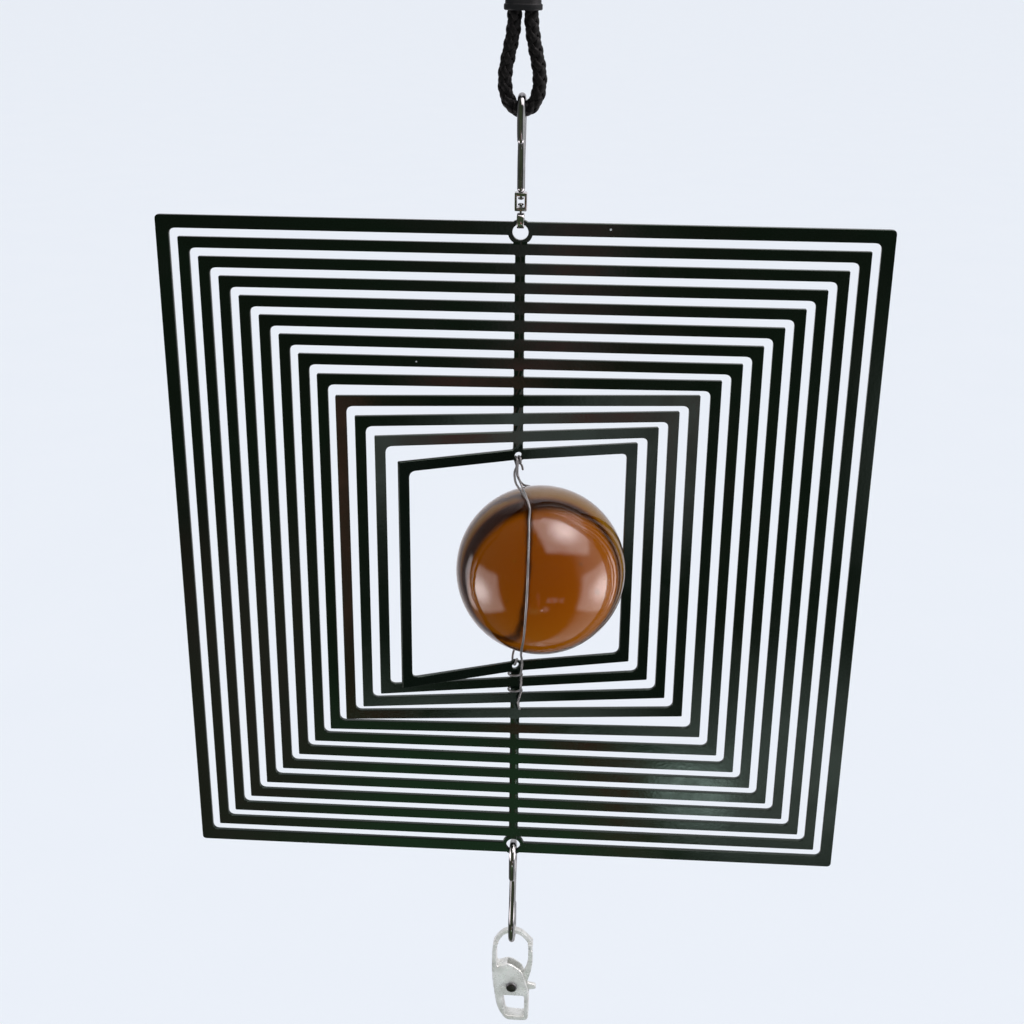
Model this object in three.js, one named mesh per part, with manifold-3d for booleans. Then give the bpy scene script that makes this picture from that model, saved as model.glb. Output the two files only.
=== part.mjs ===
// A hanging square wind spinner with a glass ball, in millimetres, +Z up.
// The sheet lies in the XZ plane and faces -Y. While it is being built the middle of the sheet is
// the origin; the whole group is then lowered so that the origin is where the top eye hangs.
import * as THREE from 'three';
import { mergeVertices } from 'three/addons/utils/BufferGeometryUtils.js';
import Module from 'manifold-3d';

const wasm = await Module();
wasm.setup();

// ---- Driving dimensions ----

const SHEET = 1.0; // thickness of the steel sheet
const HALF = 76.2; // half the side of the outermost square
const OUTER_BAR = 2.75; // width of the outermost square's bar
const BAR = 2.3; // width of every other bar
const SLOT = 1.77; // width of the cut between two squares
const NECK = 2.1; // width of the necks that join the squares
const GAP = 0.3; // clearance left between pieces that meet
const RINGS = 13;
// How far each square is turned about the vertical axis, outermost first, in degrees.
const TURNS = [0, 0, 0, 0, 0, 0, 0, 0.5, 2, 5.5, 8, 11, 19];
const FOLD = 4.15; // how far each side of the innermost square is bent forward at its necks, degrees

const HOLE_Z = 74.1; // height of the hanging hole above the middle, and of the lower one below it
const HOLE_R = 1.65;
const BOSS_R = 2.6;
const WIRE_HOLE_Z = 25.55; // the two small holes in the innermost square
const WIRE_HOLE_R = 0.85;
const WIRE_BOSS_R = 1.4;

const BALL_R = 19;
const BALL_AT = [5.4, 0.9, -1.8];
const CAGE_R = 0.25; // radius of the wire that holds the ball
const CAGE_GAP = 0.25;

const CORD_R = 1.5;
const CORD_X = 1.65; // half the spacing of the cord's two ends in the ferrule
const BIGHT_Z = 98.4; // the cord's lowest point, on its centreline
const FERRULE_Z = 117.3; // lower face of the ferrule
const FERRULE_TALL = 12;
const EYE_R = 4.2; // centreline radius of the hanging eye
const EYE_WIRE_R = 0.75;
const HANG_Z = 137.6; // inside of the eye's top, where it hangs

const HOOK_R = 0.82; // radius of the hook wire
const HOOK_TIP_Z = 92.8;
const SWIVEL_TOP_Z = 82.2;
const SWIVEL_TALL = 3.75;
const SWIVEL_WIDE = 2.5;
const SWIVEL_DEEP = 2.0;
const SWIVEL_WALL = 0.47;
const BRIDGE = 0.75; // thickness of the swivel frame's top and bottom
const RIVET_R = 0.25; // the necks of the two headed stems that turn in the swivel frame
const RIVET_HEAD_R = 0.6;
const LINK_WIDE = 1.5; // the flat link that passes through the sheet's top hole
const LINK_LOW_Z = 74.8;
const LINK_HIGH_Z = 78;
const LINK_HALF = 1.55;
const LINK_THICK = 0.6;
const S_BEND_R = 3.1; // centreline radius of the S hook's bends
const S_TOP_Z = -74.15; // the S hook's centreline where it passes through the lower hole
const S_BOTTOM_Z = -101.2;

const CLASP_BAR_Z = -99.3; // middle of the clasp's nose, which lies in the S hook's lower bend
const CLASP_THICK = 3.4;
const PIVOT = [0.1, -115.2];
const PIVOT_R = 0.7;

const COLOURS = {
  sheet: [0x0b0f0e, 0.2, 0.6],
  steel: [0xb9bcc0, 0.22, 1],
  cord: [0x17151a, 0.85, 0],
  plastic: [0x101012, 0.45, 0],
  glass: [0x9a4e08, 0.05, 0],
};

// ---- Helpers ----

function material(kind) {
  const [color, roughness, metalness] = COLOURS[kind];
  return new THREE.MeshStandardMaterial({ color, roughness, metalness });
}

const group = new THREE.Group();

function add(name, kind, geometry) {
  const mesh = new THREE.Mesh(geometry, material(kind));
  mesh.name = name;
  group.add(mesh);
  return mesh;
}

const vec = ([x, y, z]) => new THREE.Vector3(x, y, z);

// Draws a closed outline through corners given as [x, z, rounding].
function outline(target, corners) {
  corners.forEach(([x, z, rounding = 0], index) => {
    const corner = new THREE.Vector2(x, z);
    const toward = (other) => {
      const step = new THREE.Vector2(other[0], other[1]).sub(corner);
      return step.setLength(Math.min(rounding, step.length() / 2)).add(corner);
    };
    const before = toward(corners.at(index - 1));
    const after = toward(corners[(index + 1) % corners.length]);
    if (index === 0) target.moveTo(before.x, before.y);
    else target.lineTo(before.x, before.y);
    if (rounding) target.quadraticCurveTo(x, z, after.x, after.y);
  });
  return target;
}

// A flat plate in the XZ plane, centred on y = middle.
function plate(shape, thickness, middle = 0, curveSegments = 5) {
  const settings = { depth: thickness, bevelEnabled: false, curveSegments };
  const geometry = new THREE.ExtrudeGeometry(shape, settings);
  return geometry.rotateX(Math.PI / 2).translate(0, middle + thickness / 2, 0);
}

function disc(x, z, radius, thickness, middle = 0, sides = 28) {
  return new THREE.CylinderGeometry(radius, radius, thickness, sides).translate(x, middle, z);
}

// A round post standing on the XY plane's normal, its foot at z = low.
function post(x, radius, low, high, sides = 16) {
  const cylinder = new THREE.CylinderGeometry(radius, radius, high - low, sides).rotateX(Math.PI / 2);
  return cylinder.translate(x, 0, (low + high) / 2);
}

function box(x, y, z, width, depth, height) {
  return new THREE.BoxGeometry(width, depth, height).translate(x, y, z);
}

// A round bar along a curve, with flat closed ends.
function bar(curve, radius, steps, sides = 10) {
  const section = new THREE.Shape();
  for (let side = 0; side < sides; side++) {
    const angle = (side / sides) * Math.PI * 2;
    const x = radius * Math.cos(angle);
    const y = radius * Math.sin(angle);
    if (side === 0) section.moveTo(x, y);
    else section.lineTo(x, y);
  }
  return new THREE.ExtrudeGeometry(section, { steps, bevelEnabled: false, extrudePath: curve });
}

const through = (points) => new THREE.CatmullRomCurve3(points.map(vec), false, 'centripetal');

// A circular arc in a vertical plane through x; angles in degrees from +Y towards +Z.
function arc(x, y, z, radius, from, to, count) {
  return Array.from({ length: count }, (_, index) => {
    const angle = THREE.MathUtils.degToRad(from + ((to - from) * index) / (count - 1));
    return [x, y + radius * Math.cos(angle), z + radius * Math.sin(angle)];
  });
}

function toSolid(geometry) {
  const bare = geometry.clone();
  bare.deleteAttribute('normal');
  bare.deleteAttribute('uv');
  const welded = mergeVertices(bare, 1e-4);
  const vertProperties = new Float32Array(welded.getAttribute('position').array);
  const triVerts = new Uint32Array(welded.getIndex().array);
  return new wasm.Manifold(new wasm.Mesh({ numProp: 3, vertProperties, triVerts }));
}

function toGeometry(solid) {
  const mesh = solid.getMesh();
  const geometry = new THREE.BufferGeometry();
  const positions = new Float32Array(mesh.vertProperties);
  geometry.setAttribute('position', new THREE.BufferAttribute(positions, 3));
  geometry.setIndex(new THREE.BufferAttribute(new Uint32Array(mesh.triVerts), 1));
  const flat = geometry.toNonIndexed();
  flat.computeVertexNormals();
  return flat;
}

// Joins the first list of geometries and cuts the second list out of them.
function carveSolid(joined, cuts) {
  const whole = joined.map(toSolid).reduce((sum, solid) => sum.add(solid));
  return cuts.map(toSolid).reduce((rest, solid) => rest.subtract(solid), whole);
}

const carve = (joined, cuts = []) => toGeometry(carveSolid(joined, cuts));

// ---- The cut sheet ----

const outerHalf = (ring) => (ring === 0 ? HALF : HALF - OUTER_BAR - SLOT - (ring - 1) * (BAR + SLOT));
const innerHalf = (ring) => outerHalf(ring) - (ring === 0 ? OUTER_BAR : BAR);

// Corners of a square whose top and bottom sides carry a stub of a neck, out or in by reach.
function squareCorners(half, corner, reach, root) {
  const side = NECK / 2;
  const top = [[half, half, corner]];
  if (reach) top.push([side, half, root], [side, half + reach], [-side, half + reach], [-side, half, root]);
  const bottom = top.map(([x, z, rounding]) => [-x, -z, rounding]);
  return [...top, [-half, half, corner], ...bottom, [half, -half, corner]];
}

function ringPlate(ring) {
  const stub = (SLOT - GAP) / 2;
  const cornerOut = ring === 0 ? 1 : 0.3;
  const reachOut = ring > 1 ? stub : 0;
  const reachIn = ring > 0 && ring < RINGS - 1 ? -stub : 0;
  const shape = outline(new THREE.Shape(), squareCorners(outerHalf(ring), cornerOut, reachOut, 0.3));
  shape.holes.push(outline(new THREE.Path(), squareCorners(innerHalf(ring), 1.5, reachIn, 0.3)));
  return plate(shape, SHEET);
}

// The outermost square has a round boss and a hole at the top and at the bottom.
function outerRing() {
  const sides = [1, -1];
  const bosses = sides.map((side) => disc(0, side * HOLE_Z, BOSS_R, SHEET, 0, 36));
  const holes = sides.map((side) => disc(0, side * HOLE_Z, HOLE_R, SHEET * 2, 0, 32));
  const nextEdge = outerHalf(1) + GAP;
  const trims = sides.map((side) => box(0, 0, side * (nextEdge - 1), 6, SHEET * 2, 2));
  return carve([ringPlate(0), ...bosses], [...holes, ...trims]);
}

// Turns every point beyond a vertical line on one side about that line, like a folded leaf.
function foldLeaf(solid, side) {
  const line = NECK / 2;
  const angle = THREE.MathUtils.degToRad(FOLD);
  return solid.trimByPlane([side, 0, 0], line).warp((point) => {
    const reach = side * point[0] - line;
    if (reach < 1e-4) return;
    const depth = point[1];
    point[0] = side * (line + reach * Math.cos(angle) + depth * Math.sin(angle));
    point[1] = depth * Math.cos(angle) - reach * Math.sin(angle);
  });
}

// The innermost square has two small holes for the wires, and its sides are bent forward.
function innerRing() {
  const sides = [1, -1];
  const bosses = sides.map((side) => disc(0, side * WIRE_HOLE_Z, WIRE_BOSS_R, SHEET, 0, 28));
  const holes = sides.map((side) => disc(0, side * WIRE_HOLE_Z, WIRE_HOLE_R, SHEET * 2, 0, 24));
  const flat = carveSolid([ringPlate(RINGS - 1), ...bosses], holes);
  const middle = flat.trimByPlane([1, 0, 0], -NECK / 2).trimByPlane([-1, 0, 0], -NECK / 2);
  return toGeometry(sides.reduce((sum, side) => sum.add(foldLeaf(flat, side)), middle));
}

function makeRings() {
  for (let ring = 0; ring < RINGS; ring++) {
    let geometry = ringPlate(ring);
    if (ring === 0) geometry = outerRing();
    if (ring === RINGS - 1) geometry = innerRing();
    const mesh = add(`ring_${String(ring + 1).padStart(2, '0')}`, 'sheet', geometry);
    mesh.rotation.z = THREE.MathUtils.degToRad(TURNS[ring]);
  }
}

// ---- The ball and its two wires ----

// Puts a wire point on the ball's surface at a given x and z, in front (-1) or behind (+1).
function onBall(x, z, side) {
  const [cx, cy, cz] = BALL_AT;
  const reach = BALL_R + CAGE_GAP + CAGE_R;
  return [x, cy + side * Math.sqrt(reach ** 2 - (x - cx) ** 2 - (z - cz) ** 2), z];
}

// Turns a point given along and across the innermost square into the common frame.
function onInnerRing([along, across, z]) {
  const angle = THREE.MathUtils.degToRad(TURNS[RINGS - 1]);
  const x = along * Math.cos(angle) - across * Math.sin(angle);
  const y = along * Math.sin(angle) + across * Math.cos(angle);
  return [x, y, z];
}

// One turn of wire round a neck, inside the slot at height z, starting and ending at front right.
function wrap(z) {
  const [radius, count, first, sweep, pitch] = [1.55, 11, -45, -340, 0.72];
  return Array.from({ length: count }, (_, index) => {
    const done = index / (count - 1);
    const angle = THREE.MathUtils.degToRad(first + sweep * done);
    return [radius * Math.cos(angle), radius * Math.sin(angle), z + pitch * (0.5 - done)];
  });
}

// Round the lower lip of the top wire hole, given along and across the innermost square.
function lipLoop(lane, face) {
  return [
    [lane, face * 0.1, 23.65],
    [lane, -face * 0.95, 24.2],
    [lane, -face * 0.75, 24.95],
    [lane, 0, 25.2],
    [lane, face * 0.8, 25],
    [lane, face * 1.15, 24.3],
  ].map(onInnerRing);
}

function frontWire() {
  const tail = [[1.85, -3.12, 16.95], [0.63, -3.2, 18.9], [-0.1, -2.9, 19.9], [-0.45, -2.4, 20.9]];
  const tailRoot = [[-0.55, -1.75, 22.3], [-0.2, -1.17, 23.3]];
  const strand = [[0.05, -1.75, 23.2], [0.12, -2.2, 21.8], [1.11, -4.2, 20.2]];
  const frontTop = [[3.02, 16.1], [3.15, 14.2], [3.3, 12], [3.4, 7], [3.3, 0]];
  const frontLow = [[3, -6], [2.6, -11], [2, -15.5], [1.85, -17.4], [1.7, -19]];
  const slotMiddle = (ring) => -(innerHalf(ring) - SLOT / 2);
  return [
    ...tail,
    ...tailRoot,
    ...lipLoop(-0.4, -1),
    ...strand,
    ...[...frontTop, ...frontLow].map(([x, z]) => onBall(x, z, -1)),
    [1.46, -3.5, -21.2],
    [1.63, -2.1, -23.6],
    [1.6, -2, -25.2],
    ...wrap(slotMiddle(RINGS - 2)),
    [1.45, -1.8, -29.9],
    ...wrap(slotMiddle(RINGS - 3)),
    [0.84, -2, -34.3],
    [1.2, -2, -35.9],
  ];
}

function backWire() {
  const tail = [[0.9, 3.9, 20.9], [0.75, 2.7, 22.2], [0.3, 1.5, 23.3]];
  const strand = [[-0.1, 2, 22.6], [-0.3, 3, 20.1], [0.15, 5.2, 17.8]];
  const backTop = [[0.87, 16], [2.4, 13.5], [3.6, 10], [4.4, 5.5], [4.5, 1], [3.8, -5]];
  const backLow = [[3.7, -9], [3.6, -12.5], [3.1, -16], [1.9, -18.6]];
  const hook = [
    [-0.4, 1.1, -24.3],
    [-0.4, 0.75, -25],
    [-0.4, 0, -25.25],
    [-0.3, -0.8, -25],
    [-0.15, -1.1, -24.2],
    [0, -1.3, -23.4],
  ].map(onInnerRing);
  return [
    ...tail,
    ...lipLoop(0.4, 1),
    ...strand,
    ...[...backTop, ...backLow].map(([x, z]) => onBall(x, z, 1)),
    [0.2, 3.4, -21.6],
    [-0.5, 2, -22.9],
    ...hook,
  ];
}

function makeBall() {
  add('cage_wire_front', 'steel', bar(through(frontWire()), CAGE_R, 125, 8));
  add('cage_wire_back', 'steel', bar(through(backWire()), CAGE_R, 90, 8));
  const ball = new THREE.SphereGeometry(BALL_R, 36, 20).rotateX(Math.PI / 2).translate(...BALL_AT);
  add('glass_ball', 'glass', ball);
}

// ---- Hanging eye, ferrule and cord ----

// The cord's route: out of the ferrule, down the left side, round the bight and back up.
const CORD_HALF_ROUTE = [
  [-CORD_X, 0, 123.3],
  [-CORD_X, 0, 120.5],
  [-CORD_X, 0, 117.6],
  [-1.7, 0, 115.2],
  [-2.05, 0, 112.4],
  [-2.7, 0, 109.2],
  [-3.3, 0, 106.2],
  [-3.45, 0, 103.6],
  [-3.0, 0, 101],
  [-1.75, 0, 99.05],
  [0, 0, BIGHT_Z],
];

function makeCord() {
  const mirrored = CORD_HALF_ROUTE.slice(0, -1).reverse().map(([x, y, z]) => [-x, y, z]);
  add('cord_loop', 'cord', bar(through([...CORD_HALF_ROUTE, ...mirrored]), CORD_R, 44, 12));
}

const FERRULE_HALF = 3.55;
const FERRULE_END_R = 2.2;
const COLLAR = 0.25; // how far the ferrule's lower collar stands out
const CORD_BORE_DEEP = 6.3;
const EYE_BORE_DEEP = 4;

// An upright block whose plan is a slot: straight sides and round ends.
function slotBlock(half, radius, low, tall) {
  const ends = [[half, radius], [-half, radius], [-half, -radius], [half, -radius]];
  const shape = outline(new THREE.Shape(), ends.map(([x, y]) => [x, y, radius]));
  const settings = { depth: tall, bevelEnabled: false, curveSegments: 8 };
  return new THREE.ExtrudeGeometry(shape, settings).translate(0, 0, low);
}

function makeFerrule() {
  const body = [
    slotBlock(FERRULE_HALF + COLLAR, FERRULE_END_R + COLLAR * 0.8, FERRULE_Z, 1.2),
    slotBlock(FERRULE_HALF, FERRULE_END_R, FERRULE_Z, FERRULE_TALL),
  ];
  const cordBores = [-1, 1].map((side) => {
    return post(side * CORD_X, CORD_R + 0.1, FERRULE_Z - 1, FERRULE_Z + CORD_BORE_DEEP, 24);
  });
  const top = FERRULE_Z + FERRULE_TALL;
  const eyeBore = post(0, EYE_WIRE_R + GAP, top - EYE_BORE_DEEP, top + 1, 24);
  add('ferrule', 'plastic', carve(body, [...cordBores, eyeBore]));
}

function makeEye() {
  const middle = HANG_Z + EYE_WIRE_R - EYE_R;
  const loop = Array.from({ length: 21 }, (_, index) => {
    const angle = THREE.MathUtils.degToRad(-82 + (index / 20) * 322);
    return [EYE_R * Math.cos(angle), 0, middle + EYE_R * Math.sin(angle)];
  });
  const stemFoot = FERRULE_Z + FERRULE_TALL - 3.6;
  const stem = [[0, 0, stemFoot], [0, 0, stemFoot + 1.5], [0, 0, middle - EYE_R - 0.6]];
  add('hanging_eye', 'steel', bar(through([...stem, ...loop]), EYE_WIRE_R, 46, 10));
}

// ---- Upper hook and swivel ----

const WINDOW_TOP_Z = SWIVEL_TOP_Z - BRIDGE;
const WINDOW_LOW_Z = SWIVEL_TOP_Z - SWIVEL_TALL + BRIDGE;
const RIVET_HEAD_TALL = 0.5;

function makeUpperHook() {
  const bend = CORD_R + GAP + HOOK_R;
  const route = [
    [0, -bend + 0.1, HOOK_TIP_Z],
    [0, -bend, HOOK_TIP_Z + 2.6],
    ...arc(0, 0, BIGHT_Z, bend, 180, 0, 9),
    [0, bend - 0.15, BIGHT_Z - 2.4],
    [0, 1.3, 92.6],
    [0, 0.25, 89.6],
    [0, 0, 87.4],
    [0, 0, 85],
    [0, 0, SWIVEL_TOP_Z + GAP],
  ];
  const headTop = WINDOW_TOP_Z - GAP;
  const neck = post(0, RIVET_R, headTop - 0.1, SWIVEL_TOP_Z + GAP + 0.2);
  const head = post(0, RIVET_HEAD_R, headTop - RIVET_HEAD_TALL, headTop);
  add('upper_hook', 'steel', carve([bar(through(route), HOOK_R, 48, 10), neck, head]));
}

// An open steel frame; the hook's rivet head and the link's head turn inside it.
function makeSwivel() {
  const middle = SWIVEL_TOP_Z - SWIVEL_TALL / 2;
  const inside = SWIVEL_WIDE - SWIVEL_WALL * 2;
  const outer = box(0, 0, middle, SWIVEL_WIDE, SWIVEL_DEEP, SWIVEL_TALL);
  const window = box(0, 0, middle, inside, SWIVEL_DEEP * 2, SWIVEL_TALL - BRIDGE * 2);
  const bore = post(0, RIVET_R + 0.2, middle - SWIVEL_TALL, middle + SWIVEL_TALL);
  add('swivel_frame', 'steel', carve([outer], [window, bore]));
}

// A flat link that stands across the sheet, with a headed stem that turns in the swivel frame.
function makeSwivelEye() {
  const oval = (target, half, low, high, rounding) => {
    const corners = [[half, high], [-half, high], [-half, low], [half, low]];
    return outline(target, corners.map(([x, z]) => [x, z, rounding]));
  };
  const shape = oval(new THREE.Shape(), LINK_HALF, LINK_LOW_Z, LINK_HIGH_Z, LINK_HALF - 0.1);
  const inner = [LINK_HALF - LINK_THICK, LINK_LOW_Z + LINK_THICK, LINK_HIGH_Z - LINK_THICK];
  shape.holes.push(oval(new THREE.Path(), ...inner, inner[0] - 0.1));
  const link = plate(shape, LINK_WIDE).rotateZ(Math.PI / 2);
  const headLow = WINDOW_LOW_Z + GAP;
  const neck = post(0, RIVET_R, LINK_HIGH_Z - 0.2, headLow + 0.1);
  const head = post(0, RIVET_HEAD_R, headLow, headLow + RIVET_HEAD_TALL);
  add('swivel_eye', 'steel', carve([link, neck, head]));
}

// ---- Lower hook and clasp ----

function makeLowerHook() {
  const [high, low] = [S_TOP_Z - S_BEND_R, S_BOTTOM_Z + S_BEND_R];
  const route = [
    [0, -S_BEND_R + 0.1, high - 4.6],
    [0, -S_BEND_R, high - 2.3],
    ...arc(0, 0, high, S_BEND_R, 180, 0, 9),
    [0, S_BEND_R - 0.1, high - 2.6],
    [0, 1.2, high - 6.6],
    [0, -1.2, low + 6.6],
    [0, -S_BEND_R + 0.1, low + 2.6],
    ...arc(0, 0, low, S_BEND_R, 180, 360, 9),
    [0, S_BEND_R, low + 2.3],
    [0, S_BEND_R - 0.1, low + 4.6],
  ];
  add('lower_hook', 'steel', bar(through(route), HOOK_R, 60, 10));
}

function claspOutline() {
  return outline(new THREE.Shape(), [
    [1.9, CLASP_BAR_Z + 0.5, 1.6],
    [-1.7, CLASP_BAR_Z + 0.5, 1.8],
    [-4.9, -102.4, 3.6],
    [-4.9, -112.6, 3],
    [-3.6, -122.2, 3],
    [-1.3, -125.8, 1.2],
    [4.4, -125.8, 1.4],
    [4.4, -116.6, 1.2],
    [3.3, -112.9, 1.2],
    [2.6, -110.6, 1],
    [-0.6, -108.3, 1.4],
    [-3.7, -109.6, 0.9],
    [-3.8, -103, 2.6],
    [-1.7, CLASP_BAR_Z - 0.45, 1.4],
    [1.7, CLASP_BAR_Z - 0.45, 1.4],
    [4.1, -102.2, 1.8],
    [4.1, -104.1, 0.2],
    [5.2, -104.1, 0.4],
    [5.2, -102, 2.8],
  ]);
}

function tailWindow() {
  const corners = [[-2.4, -118.2, 0.9], [-1.4, -124.3, 0.9], [3.3, -124.6, 0.8], [3.3, -118.2, 0.8]];
  return outline(new THREE.Path(), corners);
}

const GATE_THICK = 1;
const GATE_Y = -0.5;
const GATE_SLOT = 2.2; // width of the slot in the clasp's body that the gate lies in
const PIN_HEAD_R = 1.35;
const PIN_HEAD_TALL = 0.5;
const SPRING_R = 0.13;

const pivotBore = () => disc(PIVOT[0], PIVOT[1], PIVOT_R + GAP, CLASP_THICK * 2, 0, 20);

function makeClaspBody() {
  const shape = claspOutline();
  shape.holes.push(tailWindow());
  const slot = outline(new THREE.Shape(), [
    [-2.7, -117.4, 0.6],
    [6, -117.4],
    [6, -106],
    [0.2, -106],
    [-2.7, -112, 0.6],
  ]);
  const flanks = [-1, 1].map((side) => box(0, side * 1.75, CLASP_BAR_Z, 16, 2, 6.6));
  const cuts = [plate(slot, GATE_SLOT), pivotBore(), ...flanks];
  add('clasp_body', 'steel', carve([plate(shape, CLASP_THICK)], cuts));
}

function makeClaspGate() {
  const shape = outline(new THREE.Shape(), [
    [-1.6, -116.6, 1.3],
    [1.9, -117.0, 0.8],
    [6.3, -116.2, 0.7],
    [6.1, -114.9, 0.6],
    [3.9, -114.6, 0.8],
    [5.3, -109.5, 3],
    [5.2, -104.5, 0.8],
    [4.1, -104.6, 0.3],
    [4.1, -109, 3],
    [2.0, -113.0, 1.2],
    [-1.5, -113.4, 1.4],
  ]);
  add('clasp_gate', 'steel', carve([plate(shape, GATE_THICK, GATE_Y)], [pivotBore()]));
}

function makeClaspPin() {
  const [px, pz] = PIVOT;
  const shank = CLASP_THICK / 2 + GAP;
  const heads = [-1, 1].map((side) => {
    return disc(px, pz, PIN_HEAD_R, PIN_HEAD_TALL, side * (shank + PIN_HEAD_TALL / 2), 24);
  });
  add('clasp_pin', 'steel', carve([disc(px, pz, PIVOT_R, shank * 2 + 0.2, 0, 20), ...heads]));
}

// A small coil round the pin, beside the gate.
function makeClaspSpring() {
  const [px, pz] = PIVOT;
  const [radius, turns, count] = [1.2, 1.6, 20];
  const coil = Array.from({ length: count }, (_, index) => {
    const done = index / (count - 1);
    const angle = done * turns * Math.PI * 2;
    return [px + radius * Math.cos(angle), 0.35 + done * 0.5, pz + radius * Math.sin(angle)];
  });
  add('clasp_spring', 'steel', bar(through(coil), SPRING_R, 32, 8));
}

makeEye();
makeFerrule();
makeCord();
makeUpperHook();
makeSwivel();
makeSwivelEye();
makeRings();
makeBall();
makeLowerHook();
makeClaspBody();
makeClaspGate();
makeClaspPin();
makeClaspSpring();

group.position.z = -HANG_Z;

export default group;
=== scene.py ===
"""A hanging square wind spinner with an amber glass ball, in a plain pale studio."""
from math import atan2, cos, pi, radians, sin, sqrt

import bmesh
import bpy
from mathutils import Matrix, Vector
from mathutils.geometry import tessellate_polygon


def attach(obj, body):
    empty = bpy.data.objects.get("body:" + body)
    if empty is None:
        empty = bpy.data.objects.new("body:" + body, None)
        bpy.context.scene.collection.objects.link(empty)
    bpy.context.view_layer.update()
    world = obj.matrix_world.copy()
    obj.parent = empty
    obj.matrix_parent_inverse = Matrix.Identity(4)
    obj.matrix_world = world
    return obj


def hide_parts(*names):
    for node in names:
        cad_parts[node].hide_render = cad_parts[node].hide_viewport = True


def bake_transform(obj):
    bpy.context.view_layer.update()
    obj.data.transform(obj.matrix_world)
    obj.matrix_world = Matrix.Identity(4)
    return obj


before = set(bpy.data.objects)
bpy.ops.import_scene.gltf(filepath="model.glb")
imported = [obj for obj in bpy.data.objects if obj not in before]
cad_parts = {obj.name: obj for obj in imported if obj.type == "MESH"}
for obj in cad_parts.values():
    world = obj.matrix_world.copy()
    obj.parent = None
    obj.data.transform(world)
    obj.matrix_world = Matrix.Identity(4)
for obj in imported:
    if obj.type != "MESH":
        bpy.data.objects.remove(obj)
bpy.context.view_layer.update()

# ---- Dimensions, in millimetres from the middle of the sheet ----

HANG_Z = 137.6  # inside of the hanging eye's top, the origin of the row frame
SHEET = 1.0  # thickness
HALF = 76.2  # half the side of the outermost square
OUTER_BAR = 2.75
BAR = 2.3
SLOT = 1.77  # cut between two squares
NECK = 2.1  # width of the necks that join the squares along the spine
RINGS = 13
TURNS = [0, 0, 0, 0, 0, 0, 0, 0.5, 2, 5.5, 8, 11, 19]  # degrees about the spine, outermost first
FOLD = 4.15  # degrees each side of the innermost square is bent forward at its necks
SHEET_EDGE = 0.11  # rounding of the sheet's cut edges
STUB = 0.4  # how far each square reaches into the slot beside it, where a neck starts
NECK_LAP = 0.3  # how far a neck runs on inside the squares that it joins
NECK_SHRINK = 0.012  # how much smaller a neck is than the stubs round its ends
TOP_NECK = 2.94  # width of the two necks beside the bosses of the outermost square
TOP_NECK_REACH = 0.35

HOLE_Z = 74.1
HOLE_R = 1.65
BOSS_R = 2.6
WIRE_HOLE_Z = 25.55
WIRE_HOLE_R = 0.85
WIRE_BOSS_R = 1.4

BALL_R = 19.0
BALL_AT = (5.4, 0.9, -1.8)
CAGE_R = 0.25
CAGE_GAP = 0.25  # between the ball and its wires

CORD_R = 1.5
CORD_X = 1.65
BIGHT_Z = 98.4
FERRULE_Z = 117.3
FERRULE_TALL = 12.0
FERRULE_HALF_WIDE = 3.8
FERRULE_HALF_DEEP = 2.4
CORD_BORE_DEEP = 6.3
EYE_BORE_DEEP = 4
BORE_PLAY = 0.1  # clearance round each end of the cord
EYE_STEM_DEEP = 3.6
EYE_R = 4.2
EYE_WIRE_R = 0.75

HOOK_R = 0.82
HOOK_TIP_Z = 92.8
SWIVEL_TOP_Z = 82.2
SWIVEL_TALL = 3.75
SWIVEL_WIDE = 2.5
SWIVEL_DEEP = 2.0
SWIVEL_WALL = 0.47
BRIDGE = 0.75  # thickness of the swivel box at its top and bottom
RIVET_R = 0.25
RIVET_HEAD_R = 0.6
RIVET_HEAD_TALL = 0.5
RIVET_GAP = 0.2  # round the rivet's neck in the swivel's bore
GAP = 0.3  # between steel pieces that touch on the real object
LINK_WIDE = 1.5
LINK_LOW_Z = 74.8
LINK_HIGH_Z = 78.0
LINK_HALF = 1.55
LINK_THICK = 0.6
S_BEND_R = 3.1
S_TOP_Z = -74.15
S_BOTTOM_Z = -101.2

CLASP_BAR_Z = -99.3
CLASP_THICK = 3.4
CLASP_BAR_THICK = 1.5  # the bar at the top, which is thinner than the body
CLASP_EDGE = 0.42
PIVOT = (0.1, -115.2)
PIVOT_R = 0.7
LEVER_THICK = 1.0
LEVER_Y = -0.5
LEVER_SLOT = 2.2  # width of the slot in the clasp's body that the lever lies in
SPRING_R = 0.13
SPRING_COIL_R = 1.2
SPRING_TURNS = 1.6

FLOOR_Z = -750.0
FLOOR_REACH = 30.0  # metres from the middle to each side
CAMERA_LENS = 51.86
CAMERA_AT = (17.17, -302.52, 131.51)
CAMERA_FORWARD = (-0.05623, 0.92882, -0.36624)
CAMERA_UP = (-0.03277, 0.36490, 0.93047)


def metres(x, y, z):
    """A point in the row frame, from millimetres about the middle of the sheet."""
    return Vector((x, y, z - HANG_Z)) / 1000


# ---- Curves and outlines ----


def rounded(corners, steps=6):
    """A closed outline through corners given as (x, z, rounding)."""
    points = []
    for index, (x, z, rounding) in enumerate(corners):
        corner = Vector((x, z))
        ends = []
        for other in (corners[index - 1], corners[(index + 1) % len(corners)]):
            side = Vector(other[:2]) - corner
            ends.append(corner + side.normalized() * min(rounding, side.length / 2))
        if rounding == 0:
            points.append(corner)
            continue
        for step in range(steps + 1):
            t = step / steps
            bend = ends[0] * (1 - t) ** 2 + corner * 2 * t * (1 - t) + ends[1] * t**2
            points.append(bend)
    return points


def area(loop):
    """The loop's area, positive where it runs anticlockwise."""
    pairs = zip(loop, loop[1:] + loop[:1])
    return sum(a.x * b.y - b.x * a.y for a, b in pairs) / 2


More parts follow.
